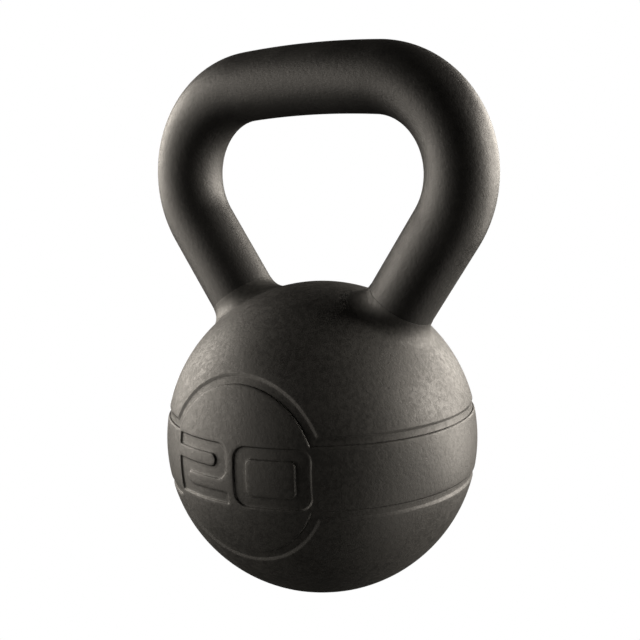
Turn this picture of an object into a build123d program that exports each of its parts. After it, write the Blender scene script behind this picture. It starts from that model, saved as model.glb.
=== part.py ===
from build123d import *
import os
from math import asin, atan2, cos, hypot, pi, sin, sqrt

# A rubber-jacketed kettlebell, in millimetres.
#
# A steel bar is bent into a handle. Its two legs run straight towards the middle of an iron ball, and a
# weld bead holds each one in its socket. Two rubber half jackets cover the iron, a rubber band with a
# numbered disc front and back hides the joint between them, and a rubber pad is the foot. A plugged
# cavity under the pad holds the shot that trims the weight.
#
# +Z is up, +X runs along the grip and the front disc faces -Y. The origin is the middle of the foot
# pad's underside, so z = 0 is the floor.

# --- ball and jacket ---
BALL_RADIUS = 86.0  # outside of the jacket
BASE_CUT = 7.7  # how much of the ball's bottom is cut off to stand on
JACKET_WALL = 5.0  # rubber over the iron

# --- handle ---
BAR_RADIUS = 18.75
WINDOW_HEIGHT = 89.7  # from the top of the ball to the underside of the grip
GRIP_HALF_LENGTH = 41.0  # from the middle of the grip to where a corner starts
CROWN_RADIUS = 525.0  # the grip bows up slightly, on this radius
CORNER_RADIUS = 49.3  # bend of the bar's centreline
SOCKET_DEPTH = 30.0  # how far a leg runs into the iron
SOCKET_CLEARANCE = 0.2  # round a leg in its socket
WELD_LEG = 3.5  # height and width of the bead round a leg

# --- jacket collar round a leg ---
COLLAR_COVE = 11.5  # radius of the hollow curve from leg to ball
COLLAR_LIP = 0.2  # rubber left at the collar's top edge

# --- band with its two discs, flush with the ball ---
BAND_WALL = 2.5
BAND_HALF_WIDTH = 16.5
DISC_RADIUS = 43.8
GROOVE_DEPTH = 1.0  # of the groove in the jacket, along the band's edge
GROOVE_FLOOR = 3.3  # width of its flat bottom
GROOVE_BEVEL = 1.5  # width of the slope from there up to the ball's surface

# --- sunk numerals, the same front and back ---
NUMERAL_MARGIN = 1.3  # from the corners of their block to the edge of the disc
NUMERAL_SHIFT = 1.8  # the block sits this far right of the disc's middle
NUMERAL_HEIGHT = 30.6
NUMERAL_GAP = 4.3  # between the two
ZERO_EXTRA = 2.5  # how much wider the zero is than the two
NUMERAL_BAR = 5.9  # height of a level stroke
NUMERAL_STEM = 7.0  # width of an upright stroke
NUMERAL_CORNER = 6.5  # radius of a large outside corner
NUMERAL_INSIDE = 3.1  # radius of an inside corner
NUMERAL_TIP = 0.9  # radius of a corner at the end of a stroke
NUMERAL_DEPTH = 1.0

# --- trim cavity, filled through the foot ---
TRIM_RADIUS = 12.0
TRIM_DEPTH = 60.0  # from the iron's flat underside
TRIM_HEADROOM = 4.0  # left empty above the shot
PLUG_RADIUS = 15.0
PLUG_HEIGHT = 9.0
PLUG_KEY_RADIUS = 5.8  # of the key socket, across its corners
PLUG_KEY_DEPTH = 5.0

# --- foot pad ---
PAD_RADIUS = 33.0
PAD_HEIGHT = 5.0
PAD_PROUD = 0.8  # how far the pad stands below the jacket
PAD_CLEARANCE = 0.3  # between the pad and the jacket round it
PAD_EDGE = 1.2  # rounding of its lower edge

# --- worked out from the above ---
CENTRE_Z = BALL_RADIUS - BASE_CUT
CORE_RADIUS = BALL_RADIUS - JACKET_WALL
GRIP_Z = CENTRE_Z + BALL_RADIUS + WINDOW_HEIGHT + BAR_RADIUS
BEYOND = 2 * BALL_RADIUS  # for tools that cut right through the ball

CROWN_ANGLE = asin(GRIP_HALF_LENGTH / CROWN_RADIUS)
CORNER_X = GRIP_HALF_LENGTH - CORNER_RADIUS * sin(CROWN_ANGLE)
CORNER_Z = GRIP_Z - CROWN_RADIUS * (1 - cos(CROWN_ANGLE)) - CORNER_RADIUS * cos(CROWN_ANGLE)
# a leg lies on the line out of the ball's centre that just touches the circle of its corner
CORNER_REACH = hypot(CORNER_X, CORNER_Z - CENTRE_Z)
LEG_ANGLE = atan2(CORNER_X, CORNER_Z - CENTRE_Z) + asin(CORNER_RADIUS / CORNER_REACH)
LEG_FOOT = CORE_RADIUS - SOCKET_DEPTH  # from the ball's centre to the end of the bar

STAND = (Align.CENTER, Align.CENTER, Align.MIN)
HANG = (Align.CENTER, Align.CENTER, Align.MAX)


def ball(radius):
    """A whole ball about the kettlebell's centre, its seam turned clear of the legs and the discs."""
    return Pos(0, 0, CENTRE_Z) * Rot(0, 0, 45) * Sphere(radius)


def below(height):
    """Everything under a level plane."""
    return Pos(0, 0, height) * Box(BEYOND, BEYOND, BEYOND, align=HANG)


def height_on_ball(radius, out):
    """How high a ball's surface is above its centre, at a distance out from the axis."""
    return sqrt(radius**2 - out**2)


def leg_plane(side):
    """The plane across a leg at the ball's centre, its Z up the leg. side is -1 or 1."""
    return Plane(
        origin=(0, 0, CENTRE_Z),
        x_dir=(cos(LEG_ANGLE), 0, -side * sin(LEG_ANGLE)),
        z_dir=(side * sin(LEG_ANGLE), 0, cos(LEG_ANGLE)),
    )


def both_legs(piece):
    """A piece made about a leg's own axis, placed on each leg."""
    return [leg_plane(side) * piece for side in (-1, 1)]


def turned(*edges):
    """The solid that a closed outline drawn on the XZ plane sweeps round the Z axis."""
    return revolve(make_face(edges), axis=Axis.Z)


def straight(*points):
    """Straight edges through (radius, height) points on the XZ plane."""
    return Polyline(*[(out, 0, up) for out, up in points])


def curved(start, middle, end):
    """An arc through three (radius, height) points on the XZ plane."""
    return ThreePointArc(*[(out, 0, up) for out, up in (start, middle, end)])


def handle_bar():
    """The bent bar: leg, corner, bowed grip, corner, leg."""

    def on_corner(side, turn):
        out = CORNER_X + CORNER_RADIUS * sin(turn)
        return Vector(side * out, 0, CORNER_Z + CORNER_RADIUS * cos(turn))

    last_turn = pi / 2 + LEG_ANGLE
    turns = (CROWN_ANGLE, (CROWN_ANGLE + last_turn) / 2, last_turn)
    right = [on_corner(1, turn) for turn in turns]
    left = [on_corner(-1, turn) for turn in reversed(turns)]
    feet = [leg_plane(side).origin + leg_plane(side).z_dir * LEG_FOOT for side in (-1, 1)]
    path = Wire(
        [
            Edge.make_line(feet[0], left[0]),
            Edge.make_three_point_arc(*left),
            Edge.make_three_point_arc(left[2], Vector(0, 0, GRIP_Z), right[0]),
            Edge.make_three_point_arc(*right),
            Edge.make_line(right[2], feet[1]),
        ]
    )
    section = Plane(origin=feet[0], z_dir=leg_plane(-1).z_dir) * Circle(BAR_RADIUS)
    return sweep(section, path=path)


def leg_welds():
    """A bead round each leg, filling the corner between the bar and the iron."""
    toe_out, mid_out = BAR_RADIUS + WELD_LEG, BAR_RADIUS + WELD_LEG / 2
    root = (BAR_RADIUS, height_on_ball(CORE_RADIUS, BAR_RADIUS))
    under = (mid_out, height_on_ball(CORE_RADIUS, mid_out))
    toe = (toe_out, height_on_ball(CORE_RADIUS, toe_out))
    top = (BAR_RADIUS, root[1] + WELD_LEG)
    return both_legs(turned(curved(root, under, toe), straight(toe, top, root)))


def core_blank():
    """The iron ball with its flat underside, before anything is bored in it."""
    return ball(CORE_RADIUS) - below(PAD_HEIGHT)


def iron_core():
    """The iron ball, with a socket for each leg and the stepped trim cavity."""
    socket = Pos(0, 0, LEG_FOOT) * Cylinder(BAR_RADIUS + SOCKET_CLEARANCE, BEYOND, align=STAND)
    cavity = Pos(0, 0, PAD_HEIGHT) * Cylinder(TRIM_RADIUS, TRIM_DEPTH, align=STAND)
    counterbore = Pos(0, 0, PAD_HEIGHT) * Cylinder(PLUG_RADIUS, PLUG_HEIGHT, align=STAND)
    core = core_blank() - cavity - counterbore
    for cut in both_legs(socket):
        core -= cut
    return core


def ballast_fill():
    """The shot in the trim cavity, resting on the plug."""
    height = TRIM_DEPTH - PLUG_HEIGHT - TRIM_HEADROOM
    return Pos(0, 0, PAD_HEIGHT + PLUG_HEIGHT) * Cylinder(TRIM_RADIUS, height, align=STAND)


def trim_plug():
    """The plug that closes the trim cavity, with a hexagonal key socket underneath."""
    plug = Pos(0, 0, PAD_HEIGHT) * Cylinder(PLUG_RADIUS, PLUG_HEIGHT, align=STAND)
    key = extrude(Pos(0, 0, PAD_HEIGHT) * RegularPolygon(PLUG_KEY_RADIUS, 6), PLUG_KEY_DEPTH)
    return plug - key


def band_zone():
    """Everything level with the belt or in line with the discs, right through the ball."""
    belt = Box(BEYOND, BEYOND, 2 * BAND_HALF_WIDTH)
    discs = Rot(90, 0, 0) * Cylinder(DISC_RADIUS, BEYOND)
    return Pos(0, 0, CENTRE_Z) * (belt + discs)


def edge_groove(edge, across):
    """The groove beside a band edge that lies this far from the middle, turned about Z.

    across is True where that distance is measured out from the axis, as round a disc, and False where it
    is measured along it, as above the belt. The tool reaches a little way over the band's side.
    """
    floor = BALL_RADIUS - GROOVE_DEPTH
    inside, toe = edge - GROOVE_FLOOR, edge + GROOVE_FLOOR
    lip = toe + GROOVE_BEVEL
    section = [
        (lip, height_on_ball(BALL_RADIUS, lip)),
        (toe, height_on_ball(floor, toe)),
        (inside, height_on_ball(floor, inside)),
        (inside, BALL_RADIUS + GROOVE_BEVEL),
        (lip, BALL_RADIUS + GROOVE_BEVEL),
    ]
    section.append(section[0])
    return turned(straight(*(section if across else [(up, along) for along, up in section])))


def grooves():
    """The grooves above and below the belt and round both discs, as cutting tools."""
    belt = edge_groove(BAND_HALF_WIDTH, across=False)
    disc = edge_groove(DISC_RADIUS, across=True)
    about_centre = [belt, mirror(belt, about=Plane.XY), Rot(90, 0, 0) * disc, Rot(-90, 0, 0) * disc]
    return [Pos(0, 0, CENTRE_Z) * cut for cut in about_centre]


def rounded(*corners):
    """A face whose outline goes round (across, up, radius) corners."""
    points = [(across, up) for across, up, radius in corners]
    return make_face(FilletPolyline(*points, radius=[radius for *place, radius in corners], close=True))


def two(width):
    """The numeral 2, centred."""
    out, top = width / 2, NUMERAL_HEIGHT / 2
    stem, bar, mid = out - NUMERAL_STEM, top - NUMERAL_BAR, NUMERAL_BAR / 2
    large, inside, tip = NUMERAL_CORNER, NUMERAL_INSIDE, NUMERAL_TIP
    upper = [(-out, bar, tip), (-out, top, tip), (out, top, large), (out, -mid, large)]
    lower_space = [(-stem, -mid, inside), (-stem, -bar, inside)]
    lower = [(out, -bar, tip), (out, -top, tip), (-out, -top, tip), (-out, mid, tip)]
    upper_space = [(stem, mid, inside), (stem, bar, inside)]
    return rounded(*upper, *lower_space, *lower, *upper_space)


def zero(width):
    """The numeral 0, centred."""

    def block(out, top, radius):
        return rounded((-out, -top, radius), (-out, top, radius), (out, top, radius), (out, -top, radius))

    out, top = width / 2, NUMERAL_HEIGHT / 2
    return block(out, top, NUMERAL_CORNER) - block(out - NUMERAL_STEM, top - NUMERAL_BAR, NUMERAL_INSIDE)


def numerals():
    """Both numerals as one sketch on the XZ plane, reading from -Y, placed on the disc."""
    reach = DISC_RADIUS - NUMERAL_MARGIN
    half = sqrt(reach**2 - (NUMERAL_HEIGHT / 2) ** 2)
    two_width = half - (NUMERAL_GAP + ZERO_EXTRA) / 2
    zero_width = two_width + ZERO_EXTRA
    left = Pos(NUMERAL_SHIFT - half + two_width / 2, 0) * two(two_width)
    right = Pos(NUMERAL_SHIFT + half - zero_width / 2, 0) * zero(zero_width)
    return Plane.XZ * (left + right)


def numeral_cuts():
    """The numerals sunk in both discs, as cutting tools whose floors follow the ball."""
    prism = extrude(Pos(0, -BEYOND, CENTRE_Z) * numerals(), BEYOND, dir=(0, 1, 0))
    front = prism - ball(BALL_RADIUS - NUMERAL_DEPTH)
    return [front, Rot(0, 0, 180) * front]


def waist_band():
    """The belt and its two discs in one piece, flush with the ball."""
    band = (ball(BALL_RADIUS) - ball(BALL_RADIUS - BAND_WALL)) & band_zone()
    for cut in numeral_cuts():
        band -= cut
    return band


def collar():
    """The rubber that rises round a leg: a hollow curve that runs out onto the ball, about Z."""
    wall = BAR_RADIUS + COLLAR_LIP
    cove = (wall + COLLAR_COVE, height_on_ball(BALL_RADIUS + COLLAR_COVE, wall + COLLAR_COVE))
    on_ball = BALL_RADIUS / (BALL_RADIUS + COLLAR_COVE)
    top = (wall, cove[1])
    toe = (cove[0] * on_ball, cove[1] * on_ball)
    lean = (pi + atan2(-cove[1], -cove[0]) % (2 * pi)) / 2
    middle = (cove[0] + COLLAR_COVE * cos(lean), cove[1] + COLLAR_COVE * sin(lean))
    within = BALL_RADIUS - JACKET_WALL / 2
    rooted = (toe[0] * within / BALL_RADIUS, toe[1] * within / BALL_RADIUS)
    by_leg = (BAR_RADIUS, height_on_ball(within, BAR_RADIUS))
    return turned(curved(top, middle, toe), straight(toe, rooted, by_leg, (BAR_RADIUS, top[1]), top))


def jacket():
    """Both half jackets as one piece, before they are parted."""
    shell = ball(BALL_RADIUS) - core_blank() - below(PAD_PROUD)
    shell -= Cylinder(PAD_RADIUS + PAD_CLEARANCE, PAD_HEIGHT, align=STAND)
    shell -= band_zone() - ball(BALL_RADIUS - BAND_WALL)
    for cut in grooves():
        shell -= cut
    for piece in both_legs(collar()):
        shell += piece
    for leg in both_legs(Pos(0, 0, LEG_FOOT) * Cylinder(BAR_RADIUS, BEYOND, align=STAND)):
        shell -= leg
    for bead in leg_welds():
        shell -= bead
    return shell


def half_jackets():
    """The upper and the lower half of the jacket, which meet behind the belt."""
    whole = jacket()
    return whole - below(CENTRE_Z), whole & below(CENTRE_Z)


def foot_pad():
    """The rubber disc that the kettlebell stands on."""
    pad = Cylinder(PAD_RADIUS, PAD_HEIGHT, align=STAND)
    return fillet(pad.edges().group_by(Axis.Z)[0], PAD_EDGE)


upper_jacket, lower_jacket = half_jackets()

pieces = {
    "handle_bar": handle_bar(),
    "leg_welds": Compound(children=leg_welds()),
    "iron_core": iron_core(),
    "ballast_fill": ballast_fill(),
    "trim_plug": trim_plug(),
    "upper_jacket": upper_jacket,
    "lower_jacket": lower_jacket,
    "waist_band": waist_band(),
    "foot_pad": foot_pad(),
}

os.makedirs("parts", exist_ok=True)
for name, piece in pieces.items():
    export_step(piece, f"parts/{name}.step")
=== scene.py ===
"""A rubber-jacketed kettlebell: bent bar, two half jackets, a numbered waist band and a foot pad.

Lengths in the classes are millimetres from the middle of the ball, with +Z up, +X along the grip and the
front disc facing -Y. They become metres in the row frame when a mesh is made.
"""

from __future__ import annotations

import logging
import math
from collections.abc import Callable, Iterable, Sequence
from dataclasses import dataclass, field
from enum import Enum

import bpy
from mathutils import Matrix, Vector
from mathutils.geometry import delaunay_2d_cdt
from mathutils.kdtree import KDTree


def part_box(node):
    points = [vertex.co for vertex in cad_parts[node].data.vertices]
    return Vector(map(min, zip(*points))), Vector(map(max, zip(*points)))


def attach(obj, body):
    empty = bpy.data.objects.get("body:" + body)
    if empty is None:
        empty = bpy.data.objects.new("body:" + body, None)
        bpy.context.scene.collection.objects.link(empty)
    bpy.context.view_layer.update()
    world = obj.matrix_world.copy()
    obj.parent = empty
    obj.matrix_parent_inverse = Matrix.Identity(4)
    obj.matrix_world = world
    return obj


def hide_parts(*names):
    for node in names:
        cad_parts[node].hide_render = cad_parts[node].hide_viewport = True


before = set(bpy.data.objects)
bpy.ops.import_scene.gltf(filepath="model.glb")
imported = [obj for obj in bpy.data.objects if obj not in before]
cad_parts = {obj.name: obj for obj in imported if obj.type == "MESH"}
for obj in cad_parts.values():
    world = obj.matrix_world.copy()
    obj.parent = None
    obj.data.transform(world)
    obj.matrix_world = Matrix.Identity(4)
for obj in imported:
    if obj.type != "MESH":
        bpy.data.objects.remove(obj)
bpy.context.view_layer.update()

MM = 0.001
TAU = 2 * math.pi
GOLDEN_TURN = math.pi * (3 - math.sqrt(5))
MERGE_DIGITS = 6  # directions that agree to this many decimals are one vertex
CHART_TOLERANCE = 1e-9  # points of a flat chart that are closer than this are one point
FEWEST_IN_RING = 24
SHARP_ANGLE = math.radians(48)
UP = Vector((0, 0, 1))
FRONT = Vector((0, -1, 0))
log = logging.getLogger("kettlebell")

Line = list[Vector]
Face = tuple[int, ...]
Pair = tuple[float, float]
Table = Sequence[Pair]
Colour = tuple[float, float, float, float]
Value = bpy.types.NodeSocket | float | Colour


class Slot(Enum):
    """The record's material slots that the pieces take their finish from."""

    BAR = "coated_steel"
    WELD = "weld_steel"
    IRON = "core_iron"
    SHOT = "shot_steel"
    JACKET = "jacket_rubber"
    BAND = "band_rubber"
    PAD = "pad_rubber"


class Half(Enum):
    """The two halves of the jacket, by the way each one's pole points."""

    UPPER = 1
    LOWER = -1


# --- sizes that the CAD model sets ---


@dataclass(frozen=True)
class Measures:
    """The sizes read from the boxes of the CAD nodes, in millimetres."""

    ball: float
    core: float
    disc: float
    bar: float
    centre_z: float
    grip_top: float
    pad: float
    pad_height: float
    jacket_bottom: float

    @classmethod
    def from_frame(cls) -> Measures:
        """Reads the boxes of the CAD nodes.

        Returns:
            The sizes, with heights above the floor.
        """
        band_low, band_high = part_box("waist_band")
        core_low, core_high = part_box("iron_core")
        bar_low, bar_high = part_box("handle_bar")
        pad_low, pad_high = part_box("foot_pad")
        lower_low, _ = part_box("lower_jacket")
        return cls(
            ball=(band_high.x - band_low.x) / 2 / MM,
            core=(core_high.x - core_low.x) / 2 / MM,
            disc=(band_high.z - band_low.z) / 2 / MM,
            bar=(bar_high.y - bar_low.y) / 2 / MM,
            centre_z=(band_high.z + band_low.z) / 2 / MM,
            grip_top=bar_high.z / MM,
            pad=(pad_high.x - pad_low.x) / 2 / MM,
            pad_height=(pad_high.z - pad_low.z) / MM,
            jacket_bottom=lower_low.z / MM,
        )


# --- mesh helpers ---


def add_mesh(name: str, points: Iterable[Vector], faces: Sequence[Face], lift: float) -> bpy.types.Object:
    """Makes a smooth-shaded mesh object.

    Args:
        name: the object's name.
        points: its vertices, in millimetres.
        faces: the vertex numbers round each face.
        lift: how far up the vertices move, in millimetres.

    Returns:
        The object, linked to the scene and standing at the origin.
    """
    mesh = bpy.data.meshes.new(name)
    mesh.from_pydata([(p.x * MM, p.y * MM, (p.z + lift) * MM) for p in points], [], faces)
    mesh.shade_smooth()
    mesh.set_sharp_from_angle(angle=SHARP_ANGLE)
    mesh.update()
    obj = bpy.data.objects.new(name, mesh)
    bpy.context.scene.collection.objects.link(obj)
    return obj


def keep(obj: bpy.types.Object, slot: Slot, material: bpy.types.Material, node: str) -> None:
    """Finishes a piece and says which body it rides on.

    Args:
        obj: the piece.
        slot: the material slot it belongs to; not used.
        material: its material.
        node: the CAD node that it stands for.
    """
    obj.data.materials.append(material)
    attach(obj, "root")
    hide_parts(node)
    log.info("%s stands for %s, %d vertices", obj.name, node, len(obj.data.vertices))


def tube_faces(rows: int, around: int) -> list[Face]:
    """Faces of a closed tube.

    Args:
        rows: how many rings of vertices it has, from its first end to its last.
        around: how many vertices each ring has.

    Returns:
        The wall, then the first and the last end.
    """
    faces: list[Face] = []
    for start in range(0, (rows - 1) * around, around):
        for i in range(around):
            j = (i + 1) % around
            faces.append((start + i, start + j, start + around + j, start + around + i))
    last = (rows - 1) * around
    return [*faces, tuple(reversed(range(around))), tuple(range(last, last + around))]


def heading(azimuth: float, elevation: float) -> Vector:
    """The direction at an azimuth and an elevation.

    Args:
        azimuth: from the front towards the right, in degrees.
        elevation: from level, in degrees.

    Returns:
        A unit vector.
    """
    turn, rise = math.radians(azimuth), math.radians(elevation)
    return Vector((math.sin(turn) * math.cos(rise), -math.cos(turn) * math.cos(rise), math.sin(rise)))


def ring(axis: Vector, angle: float, step: float) -> Line:
    """Directions on a circle round an axis.

    Args:
        axis: unit vector up the middle of the circle.
        angle: angle from the axis to the circle, in radians.
        step: distance between neighbours on a unit ball.

    Returns:
        Unit vectors round the circle.
    """
    count = max(FEWEST_IN_RING, 4 * math.ceil(TAU * math.sin(angle) / step / 4))
    side = axis.cross(Vector((0, 1, 0))).normalized()
    other = axis.cross(side)
    middle, out = axis * math.cos(angle), math.sin(angle)
    turns = (TAU * i / count for i in range(count))
    return [middle + (side * math.cos(t) + other * math.sin(t)) * out for t in turns]


def spread(start: float, end: float, step: float) -> list[float]:
    """Evenly spaced values from start to end, both included, no further apart than step."""
    count = max(1, math.ceil(abs(end - start) / step))
    return [start + (end - start) * i / count for i in range(count + 1)]


def ease(place: float, table: Table) -> float:
    """Reads a table, straight between its rows and level beyond them.

    Args:
        place: where to read it.
        table: rows of (place, value), with the places going up.

    Returns:
        The value there.
    """
    if place <= table[0][0]:
        return table[0][1]
    for (left, low), (right, high) in zip(table, table[1:]):
        if place <= right:
            return low + (high - low) * (place - left) / (right - left)
    return table[-1][1]


@dataclass
class Skin:
    """Triangles over the unit ball, with the surface's radius at each corner."""

    directions: Line = field(default_factory=list)
    radii: list[float] = field(default_factory=list)
    triangles: list[tuple[int, int, int]] = field(default_factory=list)
    known: dict[tuple[float, float, float], int] = field(default_factory=dict)

    def corner(self, direction: Vector, radius: float) -> int:
        """Finds the vertex in a direction, or adds it if it is new.

        Args:
            direction: unit vector to it.
            radius: the surface's radius there, if it is new.

        Returns:
            The vertex's number.
        """
        key = tuple(round(c, MERGE_DIGITS) + 0.0 for c in direction)
        if key not in self.known:
            self.known[key] = len(self.directions)
            self.directions.append(direction)
            self.radii.append(radius)
        return self.known[key]

    def add(self, other: Skin, turn: Matrix) -> None:
        """Adds another skin and joins it where the two meet.

        Args:
            other: the other skin.
            turn: how it is turned first.
        """
        numbers = [self.corner(turn @ d, r) for d, r in zip(other.directions, other.radii)]
        for triangle in other.triangles:
            corners = tuple(numbers[i] for i in triangle)
            if len(set(corners)) == 3:
                self.triangles.append(corners)

    def solid(self, inner: Callable[[Vector], Vector]) -> tuple[Line, list[Face]]:
        """Closes the skin with an inner surface and walls along its free edges.

        Args:
            inner: gives the point of the inner surface that belongs to a direction.

        Returns:
            The points and the faces of the closed solid.
        """
        count = len(self.directions)
        points = [d * r for d, r in zip(self.directions, self.radii)] + [inner(d) for d in self.directions]
        faces: list[Face] = list(self.triangles)
        faces += [(c + count, b + count, a + count) for a, b, c in self.triangles]
        edges = {(a, b) for t in self.triangles for a, b in zip(t, t[1:] + t[:1])}
        faces += [(b, a, a + count, b + count) for a, b in edges if (b, a) not in edges]
        return points, faces


@dataclass
class Patch:
    """A part of the ball's surface whose mesh edges follow the lines drawn on it.

    The mesh is laid out on a flat chart, on which any circle of the ball is a circle too.
    """

    pole: Vector
    ball: float
    spacing: float = 1.5
    clearance: float = 0.62
    points: Line = field(default_factory=list)
    radii: list[float] = field(default_factory=list)
    edges: list[tuple[int, int]] = field(default_factory=list)

    def draw(self, line: Line, radii: Sequence[float] | float, closed: bool = True) -> None:
        """Draws a line that mesh edges have to follow.

        Args:
            line: unit vectors along it.
            radii: the surface's radius at each of them, or one radius for all.
            closed: whether the last point joins the first.
        """
        first = len(self.points)
        self.points += line
        self.radii += [radii] * len(line) if isinstance(radii, float) else list(radii)
        self.edges += [(first + i, first + i + 1) for i in range(len(line) - 1)]
        if closed:
            self.edges.append((first + len(line) - 1, first))

    def fill(self, inside: Callable[[Vector], bool], radius: Callable[[Vector], float]) -> Skin:
        """Meshes the patch.

        Args:
            inside: tells whether the surface covers a direction.
            radius: gives the surface's radius in a direction away from the drawn lines.

        Returns:
            The triangles inside.
        """
        side = Vector((1, 0, 0))
        other = self.pole.cross(side)
        drawn = KDTree(len(self.points))
        for number, point in enumerate(self.points):
            drawn.insert(point, number)
        drawn.balance()
        step = self.spacing / self.ball
        count = int(2 * TAU / (step * step * math.sqrt(3) / 2))
        scatter = []
        for i in range(count // 2 + 1):
            rise = 1 - (2 * i + 1) / count
            out = math.sqrt(max(0.0, 1 - rise * rise))
            turn = i * GOLDEN_TURN
            point = self.pole * rise + (side * math.cos(turn) + other * math.sin(turn)) * out
            if drawn.find(point)[2] > self.clearance * step and inside(point):
                scatter.append(point)
        everything = self.points + scatter
        chart = [Vector((p.dot(side), p.dot(other))) / (1 + p.dot(self.pole)) for p in everything]
        flat, _, faces, origins, _, _ = delaunay_2d_cdt(chart, self.edges, [], 0, CHART_TOLERANCE)
        skin = Skin()
        numbers = []
        for place, origin in zip(flat, origins):
            if origin:
                point = everything[origin[0]]
            else:
                square = place.length_squared
                level = side * (2 * place.x) + other * (2 * place.y)
                point = (level + self.pole * (1 - square)) / (1 + square)
            marked = bool(origin) and origin[0] < len(self.points)
            numbers.append(skin.corner(point, self.radii[origin[0]] if marked else radius(point)))
        for face in faces:
            corners = tuple(numbers[i] for i in face)
            a, b, c = (skin.directions[i] for i in corners)
            if len(set(corners)) == 3 and inside((a + b + c).normalized()):
                skin.triangles.append(corners)
        return skin


# --- the pieces ---


@dataclass
class HandleBar:
    """The round bar, bent into a bowed grip, two corners and two legs that run into the ball."""

    measures: Measures
    grip_half: float = 41.0
    crown_radius: float = 525.0
    corner_radius: float = 49.3
    leg_foot: float = 51.0
    around: int = 96
    step: float = 2.0

    @property
    def crown_angle(self) -> float:
        """How far the grip turns from its middle to a corner."""
        return math.asin(self.grip_half / self.crown_radius)

    @property
    def grip_height(self) -> float:
        """Height of the grip's centreline above the middle of the ball."""
        return self.measures.grip_top - self.measures.centre_z - self.measures.bar

    @property
    def corner_centre(self) -> Pair:
        """The middle of the right corner's bend.

        Returns:
            Its (across, up).
        """
        across = self.grip_half - self.corner_radius * math.sin(self.crown_angle)
        drop = self.crown_radius * (1 - math.cos(self.crown_angle))
        return across, self.grip_height - drop - self.corner_radius * math.cos(self.crown_angle)

    @property
    def leg_angle(self) -> float:
        """The lean of a leg from upright, where it lies on a line out of the ball's middle."""
        across, up = self.corner_centre
        return math.atan2(across, up) + math.asin(self.corner_radius / math.hypot(across, up))

    def leg_axis(self, side: int) -> Vector:
        """Unit vector out of the ball's middle up a leg, where side is -1 or 1."""
        return Vector((side * math.sin(self.leg_angle), 0, math.cos(self.leg_angle)))

    def right_half(self) -> list[tuple[float, float, float]]:
        """Stations from the middle of the grip to the foot of the right leg.

        Returns:
            Rows of (across, up, turn), where turn is the lean of the section from upright.
        """
        across, up = self.corner_centre
        last = math.pi / 2 + self.leg_angle
        stations = []
        for turn in spread(0, self.crown_angle, self.step / self.crown_radius):
            rise = self.grip_height - self.crown_radius * (1 - math.cos(turn))
            stations.append((self.crown_radius * math.sin(turn), rise, turn))
        for turn in spread(self.crown_angle, last, self.step / self.corner_radius)[1:]:
            out, rise = self.corner_radius * math.sin(turn), self.corner_radius * math.cos(turn)
            stations.append((across + out, up + rise, turn))
        top = math.hypot(stations[-1][0], stations[-1][1])
        for along in spread(top, self.leg_foot, self.step)[1:]:
            stations.append((along * math.sin(self.leg_angle), along * math.cos(self.leg_angle), last))
        return stations

    def build(self, material: bpy.types.Material) -> None:
        """Sweeps the bar along its path and dresses it.

        Args:
            material: its coating.
        """
        half = self.right_half()
        stations = [(-across, up, -turn) for across, up, turn in reversed(half[1:])] + half
        points = []
        for across, up, turn in stations:
            outward = Vector((math.sin(turn), 0, math.cos(turn)))
            for i in range(self.around):
                angle = TAU * i / self.around
                offset = outward * math.cos(angle) + FRONT * math.sin(angle)
                points.append(Vector((across, 0, up)) + offset * self.measures.bar)
        obj = add_mesh("handle", points, tube_faces(len(stations), self.around), self.measures.centre_z)
        keep(obj, Slot.BAR, material, "handle_bar")


@dataclass
class BandOutline:
    """The outline shared by the waist band and the half jackets: a belt that runs into two discs."""

    measures: Measures
    belt_half: float = 16.5
    step: float = 1.2

    def belt_edge(self, grow: float) -> float:
        """Height of the belt's upper edge, with the outline grown by this much."""
        return self.belt_half + grow

    def disc_edge(self, grow: float) -> float:
        """Radius of a disc's edge, with the outline grown by this much."""
        return self.measures.disc + grow

    def beyond(self, direction: Vector) -> float:
        """How far a direction lies outside the outline.

        Args:
            direction: unit vector out of the ball's middle.

        Returns:
            The distance, negative inside the outline.
        """
        ball = self.measures.ball
        past_belt = abs(direction.z) * ball - self.belt_half
        past_disc = math.hypot(direction.x, direction.z) * ball - self.measures.disc
        return min(past_belt, past_disc)

    def crossing(self, grow: float) -> Vector:
        """Where the belt's upper edge meets the front disc's edge on the right, as a point on the ball."""
        up, out = self.belt_edge(grow), self.disc_edge(grow)
        return Vector((math.sqrt(out**2 - up**2), -math.sqrt(self.measures.ball**2 - out**2), up))

    def arc(self, grow: float) -> Line:
        """The upper edge of the front disc from right to left, without its end on the left.

        Args:
            grow: how far the outline is grown.

        Returns:
            Unit vectors along it.
        """
        up, out, depth = self.belt_edge(grow), self.disc_edge(grow), self.crossing(grow).y
        start = math.asin(up / out)
        turns = spread(start, math.pi - start, self.step / out)[:-1]
        return [Vector((out * math.cos(t), depth, out * math.sin(t))) / self.measures.ball for t in turns]

    def belt(self, grow: float, to_seam: bool) -> Line:
        """The belt's upper edge on the left, from the front disc to the back one or to the seam half way.

        Args:
            grow: how far the outline is grown.
            to_seam: whether it stops at the seam, which it then reaches.

        Returns:
            Unit vectors along it.
        """
        up, meet = self.belt_edge(grow), self.crossing(grow)
        out = math.sqrt(self.measures.ball**2 - up**2)
        start = math.atan2(meet.y, -meet.x)
        end = -math.pi if to_seam else -TAU - start
        turns = spread(start, end, self.step / out)
        points = [Vector((out * math.cos(t), out * math.sin(t), up)) / self.measures.ball for t in turns]
        return points if to_seam else points[:-1]

    def loop(self, grow: float) -> Line:
        """The whole upper outline, all the way round the ball."""
        half = self.arc(grow) + self.belt(grow, to_seam=False)
        return half + [Vector((-p.x, -p.y, p.z)) for p in half]


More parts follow.
